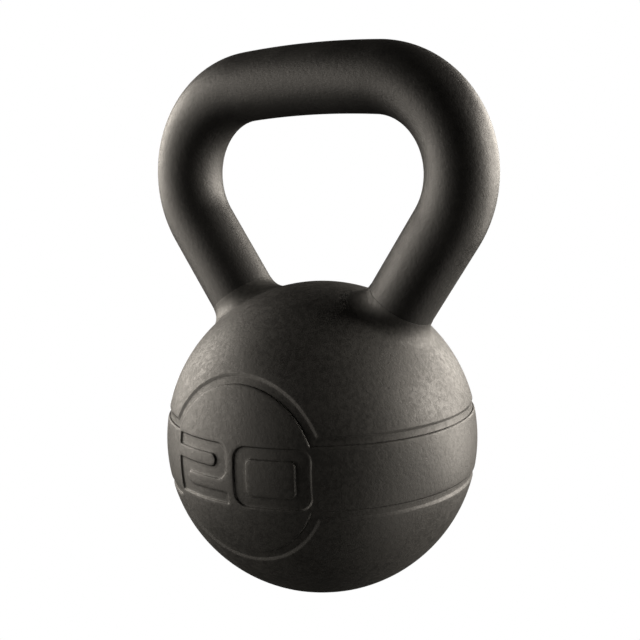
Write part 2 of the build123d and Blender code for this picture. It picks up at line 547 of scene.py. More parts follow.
@dataclass
class Jackets:
    """The two rubber half jackets, with their collars, edge grooves and the recess for the band."""

    measures: Measures
    handle: HandleBar
    outline: BandOutline
    recess: float = 2.5
    opening: float = 33.3
    cove: float = 11.5
    lip: float = 0.2
    bar_gap: float = 0.03
    weld_leg: float = 3.5
    remap_end: float = math.radians(34)
    ring_step: float = 1.2
    lip_drop: float = 0.1
    lip_round: Pair = (0.04, 0.05)
    cove_start: float = 0.03
    cove_step: float = 0.11
    foot_flat: float = 0.7
    foot_round: Pair = (0.15, 0.12)
    foot_blend: float = 0.5
    groove: Table = (
        (0.0, 2.5),
        (0.03, 1.4),
        (0.12, 1.0),
        (3.1, 1.0),
        (3.4, 0.93),
        (3.65, 0.78),
        (4.5, 0.12),
        (4.7, 0.03),
        (5.0, 0.0),
    )

    def polar(self, out: float, up: float) -> Pair:
        """(angle from the axis, radius) of a point at (out, up) beside an axis through the ball's middle."""
        return math.atan2(out, up), math.hypot(out, up)

    @property
    def collar_profile(self) -> list[Pair]:
        """The way down a collar, from its edge against the leg to its toe on the ball.

        Returns:
            Rows of (angle, radius) about the leg's axis.
        """
        wall = self.measures.bar + self.lip
        centre_out = wall + self.cove
        centre_up = math.sqrt((self.measures.ball + self.cove) ** 2 - centre_out**2)
        toe = math.pi + math.atan2(centre_up, centre_out)
        rows = [self.polar(self.measures.bar + self.bar_gap, centre_up - self.lip_drop)]
        rows.append(self.polar(wall - self.lip_round[0], centre_up - self.lip_round[1]))
        for turn in spread(math.pi + self.cove_start, toe, self.cove_step):
            out, up = self.cove * math.cos(turn), self.cove * math.sin(turn)
            rows.append(self.polar(centre_out + out, centre_up + up))
        return rows

    @property
    def foot_profile(self) -> list[Pair]:
        """The way from the foot opening out to the ball.

        Returns:
            Rows of (angle, radius) about the axis straight down.
        """
        down = self.measures.centre_z - self.measures.jacket_bottom
        edge = math.sqrt(self.measures.ball**2 - down**2)
        beyond = edge + self.foot_blend
        return [
            self.polar(self.opening, down),
            self.polar(edge - self.foot_flat, down),
            self.polar(edge - self.foot_round[0], down - self.foot_round[1]),
            self.polar(beyond, math.sqrt(self.measures.ball**2 - beyond**2)),
        ]

    def radius(self, direction: Vector) -> float:
        """The outer radius of the jackets away from the collars and the foot."""
        return self.measures.ball - ease(self.outline.beyond(direction), self.groove)

    def upper(self) -> tuple[Line, list[Face]]:
        """Meshes the upper half: a dome with a collar round each leg.

        Returns:
            Its points and faces.
        """
        profile = self.collar_profile
        axes = [self.handle.leg_axis(side) for side in (-1, 1)]
        patch = self.half_patch(UP)
        for axis in axes:
            for angle, radius in profile:
                patch.draw(ring(axis, angle, self.ring_step / self.measures.ball), radius)

        def inside(direction: Vector) -> bool:
            """Whether the dome covers a direction."""
            return direction.z > 0 and all(direction.angle(axis) > profile[0][0] for axis in axes)

        def outer(direction: Vector) -> float:
            """The outer radius, on a collar or beside them."""
            angle = min(direction.angle(axis) for axis in axes)
            return ease(angle, profile) if angle < profile[-1][0] else self.radius(direction)

        core, bar = self.measures.core, self.measures.bar + self.bar_gap
        bead_out = self.measures.bar + self.weld_leg
        bead_toe = self.polar(bead_out, math.sqrt(core**2 - bead_out**2))
        bead_top = self.polar(bar, math.sqrt(core**2 - bar**2) + self.weld_leg)
        far = self.remap_end
        turned = [(profile[0][0], bead_top[0]), (profile[2][0], bead_toe[0]), (far, far)]

        def inner(direction: Vector) -> Vector:
            """The inside, which lies on the iron and on the bead round each leg.

            Args:
                direction: unit vector to the outside.

            Returns:
                The point of the inside that belongs to it.
            """
            axis = min(axes, key=direction.angle)
            angle = direction.angle(axis)
            if angle >= far:
                return direction * core
            new = ease(angle, turned)
            side = (direction - axis * direction.dot(axis)).normalized()
            return (axis * math.cos(new) + side * math.sin(new)) * ease(new, [bead_top, bead_toe])

        return patch.fill(inside, outer).solid(inner)

    def lower(self) -> tuple[Line, list[Face]]:
        """Meshes the lower half: a bowl with a round opening for the foot pad.

        Returns:
            Its points and faces.
        """
        profile = self.foot_profile
        patch = self.half_patch(-UP)
        for angle, radius in profile:
            patch.draw(ring(-UP, angle, self.ring_step / self.measures.ball), radius)

        def inside(direction: Vector) -> bool:
            """Whether the bowl covers a direction."""
            return direction.z < 0 and direction.angle(-UP) > profile[0][0]

        def outer(direction: Vector) -> float:
            """The outer radius, beside the foot opening or away from it."""
            angle = direction.angle(-UP)
            return ease(angle, profile) if angle < profile[-1][0] else self.radius(direction)

        flat = self.measures.centre_z - self.measures.pad_height
        turned = [(profile[0][0], math.atan2(self.opening, flat)), (self.remap_end, self.remap_end)]

        def inner(direction: Vector) -> Vector:
            """The inside, which lies on the iron and on its flat underside.

            Args:
                direction: unit vector to the outside.

            Returns:
                The point of the inside that belongs to it.
            """
            new = ease(min(direction.angle(-UP), self.remap_end), turned)
            if direction.angle(-UP) >= self.remap_end:
                return direction * self.measures.core
            side = Vector((direction.x, direction.y, 0)).normalized()
            reach = min(self.measures.core, flat / math.cos(new))
            return (side * math.sin(new) - UP * math.cos(new)) * reach

        return patch.fill(inside, outer).solid(inner)

    def half_patch(self, pole: Vector) -> Patch:
        """A patch over one half of the ball, with the groove's lines and the joint's edge drawn on it.

        Args:
            pole: which way the half points, up or down.

        Returns:
            The patch.
        """
        ball = self.measures.ball
        patch = Patch(pole, ball)
        flip = pole.z
        patch.draw(ring(UP, math.pi / 2, self.ring_step / ball), ball - self.recess)
        for grow, depth in self.groove:
            patch.draw([Vector((p.x, p.y, flip * p.z)) for p in self.outline.loop(grow)], ball - depth)
        meets = [self.outline.crossing(grow) / ball for grow, _ in self.groove]
        radii = [ball - depth for _, depth in self.groove]
        for x_side in (-1, 1):
            for y_side in (-1, 1):
                mitre = [Vector((x_side * m.x, y_side * m.y, flip * m.z)) for m in meets]
                patch.draw(mitre, radii, closed=False)
        return patch

    def build(self, half: Half, material: bpy.types.Material) -> None:
        """Builds and dresses one half.

        Args:
            half: which one.
            material: its rubber.
        """
        points, faces = self.upper() if half is Half.UPPER else self.lower()
        node = f"{half.name.lower()}_jacket"
        obj = add_mesh(f"jacket_{half.name.lower()}", points, faces, self.measures.centre_z)
        keep(obj, Slot.JACKET, material, node)


@dataclass(frozen=True)
class Corner:
    """A rounded corner of a numeral's outline."""

    across: float
    up: float
    radius: float


@dataclass
class Numerals:
    """The two numerals sunk in a disc, as outlines that can be grown or shrunk."""

    disc: float
    margin: float = 1.3
    shift: float = 1.8
    height: float = 30.6
    gap: float = 4.3
    zero_extra: float = 2.5
    bar: float = 5.9
    stem: float = 7.0
    large: float = 6.5
    inside: float = 3.1
    tip: float = 0.9
    depth: float = 1.0
    step: float = 1.0
    corner_fineness: float = 1.5
    edge: Table = ((-0.5, 1.0), (-0.3, 0.93), (-0.12, 0.7), (0.12, 0.3), (0.3, 0.07), (0.5, 0.0))
    outlines_at_rest: list[list[Pair]] = field(init=False)

    def __post_init__(self) -> None:
        """Keeps the plain outlines, which covers() reads often."""
        self.outlines_at_rest = self.outlines(0.0)

    @property
    def widths(self) -> Pair:
        """The widths of the two and the zero, which together fill the disc.

        Returns:
            The width of the two, then of the zero.
        """
        half = self.half_block
        two = half - (self.gap + self.zero_extra) / 2
        return two, two + self.zero_extra

    @property
    def half_block(self) -> float:
        """Half the width of the block that the numerals fill."""
        return math.sqrt((self.disc - self.margin) ** 2 - (self.height / 2) ** 2)

    def two(self) -> list[Corner]:
        """The corners of the two, clockwise from its upper left stroke.

        Returns:
            The corners, on the disc.
        """
        width = self.widths[0]
        out, top = width / 2, self.height / 2
        stem, bar, mid = out - self.stem, top - self.bar, self.bar / 2
        rows = [
            (-out, bar, self.tip),
            (-out, top, self.tip),
            (out, top, self.large),
            (out, -mid, self.large),
            (-stem, -mid, self.inside),
            (-stem, -bar, self.inside),
            (out, -bar, self.tip),
            (out, -top, self.tip),
            (-out, -top, self.tip),
            (-out, mid, self.tip),
            (stem, mid, self.inside),
            (stem, bar, self.inside),
        ]
        middle = self.shift - self.half_block + out
        return [Corner(middle + across, up, radius) for across, up, radius in rows]

    def block(self, inset_across: float, inset_up: float, radius: float) -> list[Corner]:
        """A rounded block where the zero is, clockwise.

        Args:
            inset_across: how far its sides are moved in.
            inset_up: how far its top and bottom are moved in.
            radius: the radius of its corners.

        Returns:
            Its four corners, on the disc.
        """
        out, top = self.widths[1] / 2, self.height / 2
        middle = self.shift + self.half_block - out
        out, top = out - inset_across, top - inset_up
        return [Corner(middle + x * out, y * top, radius) for x, y in ((-1, -1), (-1, 1), (1, 1), (1, -1))]

    def outline(self, corners: list[Corner], grow: float) -> list[Pair]:
        """Walks round a clockwise outline of level and upright edges.

        Args:
            corners: the outline's corners.
            grow: how far it moves outwards.

        Returns:
            Points of (across, up) along it.
        """
        count = len(corners)
        points: list[Pair] = []
        for i, corner in enumerate(corners):
            before, after = corners[i - 1], corners[(i + 1) % count]
            come = Vector((corner.across - before.across, corner.up - before.up)).normalized()
            leave = Vector((after.across - corner.across, after.up - corner.up)).normalized()
            bend = come.x * leave.y - come.y * leave.x  # -1 where it turns right, round the outside
            out_come, out_leave = Vector((-come.y, come.x)), Vector((-leave.y, leave.x))
            mitre = Vector((corner.across, corner.up)) + (out_come + out_leave) * grow
            radius = corner.radius - bend * grow
            start, middle = mitre - come * radius, mitre - come * radius + leave * radius
            if points:
                last = Vector(points[-1])
                pieces = max(1, math.ceil((start - last).length / self.step))
                points += [tuple(last.lerp(start, k / pieces)) for k in range(1, pieces)]
            turns = max(3, math.ceil(radius * math.pi / 2 / self.step * self.corner_fineness))
            for k in range(turns + 1):
                angle = math.pi / 2 * k / turns
                spot = middle - leave * (radius * math.cos(angle)) + come * (radius * math.sin(angle))
                points.append((spot.x, spot.y))
        last, first = Vector(points[-1]), Vector(points[0])
        pieces = max(1, math.ceil((first - last).length / self.step))
        return points + [tuple(last.lerp(first, k / pieces)) for k in range(1, pieces)]

    def outlines(self, grow: float) -> list[list[Pair]]:
        """The outlines of both numerals.

        Args:
            grow: how far their sunk area is grown.

        Returns:
            The two, the zero and the zero's island, each as points of (across, up).
        """
        island = self.block(self.stem, self.bar, self.inside)
        return [
            self.outline(self.two(), grow),
            self.outline(self.block(0, 0, self.large), grow),
            self.outline(island, -grow),
        ]

    def covers(self, across: float, up: float) -> bool:
        """Whether a point of the disc lies inside a numeral.

        Args:
            across: how far right of the disc's middle it is.
            up: how far above it.

        Returns:
            Whether a numeral's sunk area holds it.
        """
        crossings = 0
        for loop in self.outlines_at_rest:
            for (x0, z0), (x1, z1) in zip(loop, loop[1:] + loop[:1]):
                if (z0 > up) != (z1 > up) and across < x0 + (x1 - x0) * (up - z0) / (z1 - z0):
                    crossings += 1
        return crossings % 2 == 1


@dataclass
class WaistBand:
    """The belt and its two discs in one piece, with the numerals sunk in both discs."""

    measures: Measures
    outline: BandOutline
    numerals: Numerals
    wall: float = 2.5
    edge: Table = ((-0.02, 0.8), (-0.22, 0.45), (-0.55, 0.17), (-1.0, 0.04), (-1.5, 0.0))

    def front(self) -> Skin:
        """Meshes the front half, as far as the seam on either side.

        Returns:
            The half's outer skin.
        """
        ball = self.measures.ball
        patch = Patch(FRONT, ball)
        for grow, depth in self.edge:
            upper = self.outline.arc(grow) + self.outline.belt(grow, to_seam=True)
            right = [Vector((-p.x, p.y, p.z)) for p in self.outline.belt(grow, to_seam=True)]
            whole = list(reversed(right))[:-1] + upper
            for side in (1, -1):
                patch.draw([Vector((p.x, p.y, side * p.z)) for p in whole], ball - depth, closed=False)
        for grow, depth in self.numerals.edge:
            for loop in self.numerals.outlines(grow):
                patch.draw([self.on_disc(across, up) for across, up in loop], ball - depth)
        for side in (-1, 1):
            seam = [self.on_seam(side, up) for up in self.seam_heights()]
            patch.draw(seam, ball, closed=False)

        def inside(direction: Vector) -> bool:
            """Whether the front half covers a direction."""
            return direction.y < 0 and self.outline.beyond(direction) < self.edge[0][0]

        def radius(direction: Vector) -> float:
            """The outer radius, in a numeral or away from them.

            Args:
                direction: unit vector out of the ball's middle.

            Returns:
                The radius, in millimetres.
            """
            across, up = direction.x * ball, direction.z * ball
            on_disc = math.hypot(across, up) < self.numerals.disc
            sunk = on_disc and abs(up) < self.numerals.height / 2 and self.numerals.covers(across, up)
            rim = ease(-self.outline.beyond(direction), [(-grow, depth) for grow, depth in self.edge])
            return ball - (self.numerals.depth if sunk else rim)

        return patch.fill(inside, radius)

    def on_disc(self, across: float, up: float) -> Vector:
        """The direction of a point of the front disc."""
        ball = self.measures.ball
        return Vector((across, -math.sqrt(ball**2 - across**2 - up**2), up)) / ball

    def on_seam(self, side: int, up: float) -> Vector:
        """The direction of a point at this height on the seam, where side is -1 or 1."""
        ball = self.measures.ball
        return Vector((side * math.sqrt(ball**2 - up**2), 0, up)) / ball

    def seam_heights(self) -> list[float]:
        """Heights of the vertices that the two halves of the band share, within its rounded edges."""
        reach = self.outline.belt_edge(self.edge[-1][0])
        return spread(-reach, reach, self.outline.step)

    def build(self, material: bpy.types.Material) -> None:
        """Builds the band out of the front half and the same half turned to the back.

        Args:
            material: its rubber.
        """
        front, whole = self.front(), Skin()
        for turn in (0, math.pi):
            whole.add(front, Matrix.Rotation(turn, 3, "Z"))
        points, faces = whole.solid(lambda direction: direction * (self.measures.ball - self.wall))
        obj = add_mesh("waist_belt", points, faces, self.measures.centre_z)
        keep(obj, Slot.BAND, material, "waist_band")


@dataclass
class FootPad:
    """The rubber disc that the kettlebell stands on."""

    measures: Measures
    rim: float = 8.0
    edge: float = 1.2
    edge_step: float = math.radians(18)
    top_edge: float = 0.4
    top_edge_step: float = math.radians(30)
    around: int = 120

    def profile(self) -> list[Pair]:
        """The way up the pad's side, from a ring on its underside to the edge of its top.

        Returns:
            Rows of (radius, height above the floor).
        """
        out, height = self.measures.pad, self.measures.pad_height
        rows = [(out - self.rim, 0.0)]
        for turn in spread(0, math.pi / 2, self.edge_step):
            rows.append((out - self.edge * (1 - math.sin(turn)), self.edge * (1 - math.cos(turn))))
        for turn in spread(0, math.pi / 2, self.top_edge_step):
            inset, drop = self.top_edge * (1 - math.cos(turn)), self.top_edge * (1 - math.sin(turn))
            rows.append((out - inset, height - drop))
        return rows

    def build(self, material: bpy.types.Material) -> None:
        """Turns the pad's profile and dresses it.

        Args:
            material: its rubber.
        """
        rows = self.profile()
        turns = [TAU * i / self.around for i in range(self.around)]
        points = [Vector((out * math.cos(t), out * math.sin(t), up)) for out, up in rows for t in turns]
        obj = add_mesh("foot", points, tube_faces(len(rows), self.around), 0.0)
        keep(obj, Slot.PAD, material, "foot_pad")


# --- finishes ---


class Tree:
    """A shader node tree being wired up, with short calls to add and join nodes."""

    MIX_COLOURS = (6, 7)  # the numbers of a Mix node's two colour inputs

    def __init__(self, tree: bpy.types.NodeTree) -> None:
        """Starts on a tree with nothing in it."""
        self.tree = tree
        tree.nodes.clear()

    def add(self, kind: str, **settings: object) -> bpy.types.Node:
        """Adds a node and sets its own properties.

        Args:
            kind: the node's type, without the ShaderNode in front.
            **settings: properties of the node.

        Returns:
            The node.
        """
        node = self.tree.nodes.new(f"ShaderNode{kind}")
        for name, value in settings.items():
            setattr(node, name, value)
        return node

    def join(self, source: bpy.types.NodeSocket, target: bpy.types.NodeSocket) -> None:
        """Links one socket to another."""
        self.tree.links.new(source, target)

    def feed(self, target: bpy.types.NodeSocket, value: Value) -> None:
        """Links a socket in, or sets a plain value.

        Args:
            target: the input to fill.
            value: a node's output, or a number or colour.
        """
        if isinstance(value, bpy.types.NodeSocket):
            self.join(value, target)
        else:
            target.default_value = value

    def math(self, operation: str, left: Value, right: Value = 0.0) -> bpy.types.NodeSocket:
        """Adds a maths node.

        Args:
            operation: what it works out.
            left: its first socket or number.
            right: its second.

        Returns:
            Its result.
        """
        node = self.add("Math", operation=operation)
        self.feed(node.inputs[0], left)
        self.feed(node.inputs[1], right)
        return node.outputs[0]

    def ramp(
        self, value: Value, low: float, high: float, start: Value = 0.0, end: Value = 1.0
    ) -> bpy.types.NodeSocket:
        """Smoothly maps low..high to start..end.

        Args:
            value: the socket to read.
            low: the value that gives start.
            high: the value that gives end.
            start: the result at low.
            end: the result at high.

        Returns:
            The mapped socket.
        """
        node = self.add("MapRange", interpolation_type="SMOOTHSTEP")
        names = ("Value", "From Min", "From Max", "To Min", "To Max")
        for name, given in zip(names, (value, low, high, start, end)):
            self.feed(node.inputs[name], given)
        return node.outputs["Result"]

    def noise(
        self, coordinates: bpy.types.NodeSocket, scale: Value, detail: float, roughness: float = 0.5
    ) -> bpy.types.NodeSocket:
        """Adds a noise texture.

        Args:
            coordinates: where it is read.
            scale: how many bumps it has to a metre.
            detail: how many finer layers it has.
            roughness: how strong those are.

        Returns:
            Its value.
        """
        node = self.add("TexNoise")
        self.join(coordinates, node.inputs["Vector"])
        self.feed(node.inputs["Scale"], scale)
        node.inputs["Detail"].default_value = detail
        node.inputs["Roughness"].default_value = roughness
        return node.outputs[0]

    def mix(self, share: Value, first: Value, second: Value) -> bpy.types.NodeSocket:
        """Mixes two colours.

        Args:
            share: how much of the second one.
            first: a colour.
            second: another.

        Returns:
            The mixed colour.
        """
        node = self.add("Mix", data_type="RGBA")
        self.feed(node.inputs[0], share)
        for number, colour in zip(self.MIX_COLOURS, (first, second)):
            self.feed(node.inputs[number], colour)
        return node.outputs[2]


class Effect(Enum):
    """The effects that several finishes share."""

    GRAIN = "Grain"
    MOTTLE = "Mottle"
    EDGE_WEAR = "EdgeWear"
    DUST = "Dust"


class Effects:
    """The shared effects, each a node group with named inputs and outputs, built once."""

    FINE_NOISE = (3.0, 0.6)  # detail and roughness, here and below
    COARSE_NOISE = (2.0, 0.5)
    COARSE_SCALE = 0.42  # of the fine grain's
    PIT_SCALE = 0.62  # of the fine grain's
    PIT_EDGE = (0.05, 0.4)  # distance from a pit's middle to its rim
    SPECKLE_LEVELS = (0.38, 0.62)  # grain height from fully dark to fully light
    PATCH_NOISE = (4.0, 0.6)
    PATCH_LEVELS = (0.3, 0.7)
    BREAKUP_NOISE = (4.0, 0.65)
    BREAKUP_LEVELS = (0.35, 0.65)
    OUTER_EDGE = (0.505, 0.56)  # pointiness from flat to a worn edge
    HOLLOW = (0.44, 0.495)  # pointiness from the bottom of a hollow to flat
    FACING_UP = (0.2, 1.0)  # upward part of the normal, from where dust starts to settle
    DUST_ON_TOP = 0.35  # of what a hollow holds
    DUST_NOISE = (5.0, 0.7)
    DUST_LEVELS = (0.4, 0.75)

    def __init__(self) -> None:
        """Builds every group."""
        builders = {
            Effect.GRAIN: self.grain,
            Effect.MOTTLE: self.mottle,
            Effect.EDGE_WEAR: self.edge_wear,
            Effect.DUST: self.dust,
        }
        self.groups = {effect: builder() for effect, builder in builders.items()}

    def group(
        self, effect: Effect, inputs: dict[str, float], outputs: Sequence[str]
    ) -> tuple[Tree, dict[str, bpy.types.NodeSocket], dict[str, bpy.types.NodeSocket]]:
        """Starts a group.

        Args:
            effect: which one.
            inputs: its number inputs, with the values that they start at.
            outputs: its number outputs.

        Returns:
            The tree, its inputs' sockets by name and its outputs' sockets by name.
        """
        group = bpy.data.node_groups.new(effect.value, "ShaderNodeTree")
        tree = Tree(group)
        for name, value in inputs.items():
            socket = group.interface.new_socket(name=name, in_out="INPUT", socket_type="NodeSocketFloat")
            socket.default_value = value
        for name in outputs:
            group.interface.new_socket(name=name, in_out="OUTPUT", socket_type="NodeSocketFloat")
        start = group.nodes.new("NodeGroupInput")
        end = group.nodes.new("NodeGroupOutput")
        given = {name: start.outputs[name] for name in inputs}
        given["place"] = tree.add("TexCoord").outputs["Object"]
        return tree, given, {name: end.inputs[name] for name in outputs}

    def grain(self) -> bpy.types.NodeTree:
        """Fine bumps on broader ones, and a few pits.

        Returns:
            The group.
        """
        inputs = {"Scale": 900.0, "Coarse": 0.5, "Pits": 0.3}
        tree, given, out = self.group(Effect.GRAIN, inputs, ["Height", "Speckle"])
        fine = tree.noise(given["place"], given["Scale"], *self.FINE_NOISE)
        broader = tree.math("MULTIPLY", given["Scale"], self.COARSE_SCALE)
        coarse = tree.noise(given["place"], broader, *self.COARSE_NOISE)
        cells = tree.add("TexVoronoi", feature="SMOOTH_F1")
        tree.join(given["place"], cells.inputs["Vector"])
        tree.join(tree.math("MULTIPLY", given["Scale"], self.PIT_SCALE), cells.inputs["Scale"])
        pits = tree.ramp(cells.outputs["Distance"], *self.PIT_EDGE, -1.0, 0.0)
        height = tree.math("ADD", fine, tree.math("MULTIPLY", coarse, given["Coarse"]))
        level = tree.math("DIVIDE", height, tree.math("ADD", given["Coarse"], 1.0))
        tree.join(tree.ramp(level, *self.SPECKLE_LEVELS), out["Speckle"])
        tree.join(tree.math("ADD", height, tree.math("MULTIPLY", pits, given["Pits"])), out["Height"])
        return tree.tree

    def mottle(self) -> bpy.types.NodeTree:
        """Large soft patches.

        Returns:
            The group.
        """
        tree, given, out = self.group(Effect.MOTTLE, {"Scale": 18.0, "Contrast": 0.5}, ["Patches"])
        broad = tree.noise(given["place"], given["Scale"], *self.PATCH_NOISE)
        half = tree.math("MULTIPLY", given["Contrast"], 0.5)
        low, high = tree.math("SUBTRACT", 0.5, half), tree.math("ADD", 0.5, half)
        tree.join(tree.ramp(broad, *self.PATCH_LEVELS, low, high), out["Patches"])
        return tree.tree

    def edge_wear(self) -> bpy.types.NodeTree:
        """A mask of the outer edges, broken up by noise.

        Returns:
            The group.
        """
        inputs = {"Amount": 0.5, "Breakup": 160.0}
        tree, given, out = self.group(Effect.EDGE_WEAR, inputs, ["Mask"])
        edges = tree.ramp(tree.add("NewGeometry").outputs["Pointiness"], *self.OUTER_EDGE)
        breakup = tree.noise(given["place"], given["Breakup"], *self.BREAKUP_NOISE)
        broken = tree.ramp(breakup, *self.BREAKUP_LEVELS)
        worn = tree.math("MULTIPLY", tree.math("MULTIPLY", edges, broken), given["Amount"])
        tree.join(worn, out["Mask"])
        return tree.tree

    def dust(self) -> bpy.types.NodeTree:
        """A mask of what settles in hollows and on top, in patches.

        Returns:
            The group.
        """
        inputs = {"Amount": 0.3, "Scale": 60.0}
        tree, given, out = self.group(Effect.DUST, inputs, ["Mask"])
        geometry = tree.add("NewGeometry")
        hollow = tree.ramp(geometry.outputs["Pointiness"], *self.HOLLOW, 1.0, 0.0)
        normal = tree.add("SeparateXYZ")
        tree.join(geometry.outputs["Normal"], normal.inputs[0])
        facing = tree.ramp(normal.outputs["Z"], *self.FACING_UP, 0.0, self.DUST_ON_TOP)
        uneven = tree.noise(given["place"], given["Scale"], *self.DUST_NOISE)
        patches = tree.ramp(uneven, *self.DUST_LEVELS)
        settled = tree.math("MULTIPLY", tree.math("ADD", hollow, facing), patches)
        tree.join(tree.math("MULTIPLY", settled, given["Amount"]), out["Mask"])
        return tree.tree

    def place(self, tree: Tree, effect: Effect, **values: float) -> bpy.types.Node:
        """Puts a group in a material with its own values.

        Args:
            tree: the material's tree.
            effect: which group.
            **values: its inputs.

        Returns:
            The group's node.
        """
        node = tree.add("Group", node_tree=self.groups[effect])
        for name, value in values.items():
            node.inputs[name].default_value = value
        return node


@dataclass(frozen=True)
class Finish:
    """A procedural material: a base in two shades, with grain, patches, worn edges and dust."""

    name: str
    dark: Colour
    light: Colour
    worn: Colour
    dusty: Colour = (0.16, 0.15, 0.135, 1.0)
    roughness: Pair = (0.45, 0.6)
    roughness_levels: Pair = (0.15, 0.85)
    metallic: float = 0.0
    specular: float = 0.5
    grain_scale: float = 900.0
    grain_coarse: float = 0.5
    grain_pits: float = 0.3
    bump: float = 0.3
    bump_depth: float = 0.0004
    speckle: float = 0.25
    patch_scale: float = 18.0
    patch_contrast: float = 0.9
    wear: float = 0.4
    dust: float = 0.25
    dust_roughness: float = 0.25

    def build(self, effects: Effects) -> bpy.types.Material:
        """Makes the material.

        Args:
            effects: the shared node groups.

        Returns:
            The material.
        """
        material = bpy.data.materials.new(self.name)
        material.use_nodes = True
        tree = Tree(material.node_tree)
        shader = tree.add("BsdfPrincipled")
        grain = effects.place(
            tree, Effect.GRAIN, Scale=self.grain_scale, Coarse=self.grain_coarse, Pits=self.grain_pits
        )
        mottle = effects.place(tree, Effect.MOTTLE, Scale=self.patch_scale, Contrast=self.patch_contrast)
        wear = effects.place(tree, Effect.EDGE_WEAR, Amount=self.wear)
        dust = effects.place(tree, Effect.DUST, Amount=self.dust)
        speckled = tree.math("MULTIPLY", grain.outputs["Speckle"], self.speckle)
        share = tree.math("ADD", tree.math("MULTIPLY", mottle.outputs["Patches"], 1 - self.speckle), speckled)
        base = tree.mix(share, self.dark, self.light)
        base = tree.mix(wear.outputs["Mask"], base, self.worn)
        base = tree.mix(dust.outputs["Mask"], base, self.dusty)
        tree.join(base, shader.inputs["Base Color"])
        rough = tree.ramp(share, *self.roughness_levels, *self.roughness)
        rougher = tree.math("MULTIPLY", dust.outputs["Mask"], self.dust_roughness)
        rough = tree.math("ADD", rough, rougher)
        tree.join(rough, shader.inputs["Roughness"])
        shader.inputs["Metallic"].default_value = self.metallic
        shader.inputs["Specular IOR Level"].default_value = self.specular
        bump = tree.add("Bump")
        bump.inputs["Strength"].default_value = self.bump
        bump.inputs["Distance"].default_value = self.bump_depth
        tree.join(grain.outputs["Height"], bump.inputs["Height"])
        tree.join(bump.outputs["Normal"], shader.inputs["Normal"])
        tree.join(shader.outputs["BSDF"], tree.add("OutputMaterial").inputs["Surface"])
        return material


POWDER_COAT = Finish(
    name="PowderCoat",
    dark=(0.0035, 0.0035, 0.0034, 1),
    light=(0.009, 0.0089, 0.0086, 1),
    worn=(0.04, 0.039, 0.037, 1),
    roughness=(0.48, 0.58),
    grain_scale=900.0,
    grain_coarse=1.5,
    bump=0.2,
    dust=0.1,
)
JACKET_RUBBER = Finish(
    name="JacketRubber",
    dark=(0.0185, 0.0183, 0.0174, 1),
    light=(0.034, 0.0337, 0.032, 1),
    worn=(0.065, 0.064, 0.061, 1),
    roughness=(0.48, 0.62),
    grain_scale=950.0,
    grain_coarse=1.6,
    bump=0.17,
    speckle=0.5,
    dust=0.08,
)
BAND_RUBBER = Finish(
    name="BandRubber",
    dark=(0.018, 0.0178, 0.017, 1),
    light=(0.033, 0.0327, 0.031, 1),
    worn=(0.065, 0.064, 0.061, 1),
    roughness=(0.49, 0.61),
    grain_scale=980.0,
    grain_coarse=1.6,
    bump=0.17,
    speckle=0.5,
    dust=0.08,
)
PAD_RUBBER = Finish(
    name="PadRubber",
    dark=(0.014, 0.014, 0.0135, 1),
    light=(0.028, 0.0275, 0.026, 1),
    worn=(0.07, 0.068, 0.064, 1),
    roughness=(0.62, 0.78),
    grain_scale=600.0,
    bump=0.5,
    wear=0.7,
    dust=0.5,
)
CAST_IRON = Finish(
    name="CastIron",
    dark=(0.045, 0.043, 0.041, 1),
    light=(0.11, 0.1, 0.092, 1),
    worn=(0.3, 0.29, 0.28, 1),
    dusty=(0.16, 0.07, 0.03, 1),
    roughness=(0.55, 0.75),
    metallic=0.8,
    grain_scale=420.0,
    grain_coarse=1.2,
    bump=0.7,
    dust=0.6,
)
WELD_STEEL = Finish(
    name="WeldSteel",
    dark=(0.16, 0.15, 0.14, 1),
    light=(0.33, 0.31, 0.29, 1),
    worn=(0.5, 0.49, 0.47, 1),
    dusty=(0.12, 0.08, 0.05, 1),
    roughness=(0.32, 0.5),
    metallic=1.0,
    grain_scale=380.0,
    bump=0.6,
)
SHOT_STEEL = Finish(
    name="ShotSteel",
    dark=(0.2, 0.2, 0.2, 1),
    light=(0.4, 0.4, 0.39, 1),
    worn=(0.55, 0.55, 0.54, 1),
    roughness=(0.28, 0.42),
    metallic=1.0,
    grain_scale=300.0,
    grain_pits=1.0,
    bump=0.6,
)


@dataclass(frozen=True)
class HiddenPieces:
    """The CAD pieces that nothing covers for: they stay as they are and get their finishes."""

    slots: tuple[tuple[str, Slot], ...] = (
        ("iron_core", Slot.IRON),
        ("leg_welds", Slot.WELD),
        ("ballast_fill", Slot.SHOT),
        ("trim_plug", Slot.SHOT),
    )

    def dress(self, materials: dict[Slot, bpy.types.Material]) -> None:
        """Gives each one its material.

        Args:
            materials: the materials, by slot.
        """
        for node, slot in self.slots:
            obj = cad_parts[node]
            for place in obj.material_slots:
                place.material = materials[slot]
            log.info("%s keeps its CAD mesh", node)


# --- studio ---


@dataclass(frozen=True)
class Softbox:
    """A square soft light that faces the ball."""

    name: str
    azimuth: float
    elevation: float
    power: float
    size: float = 0.75
    colour: tuple[float, float, float] = (1.0, 0.923, 0.823)


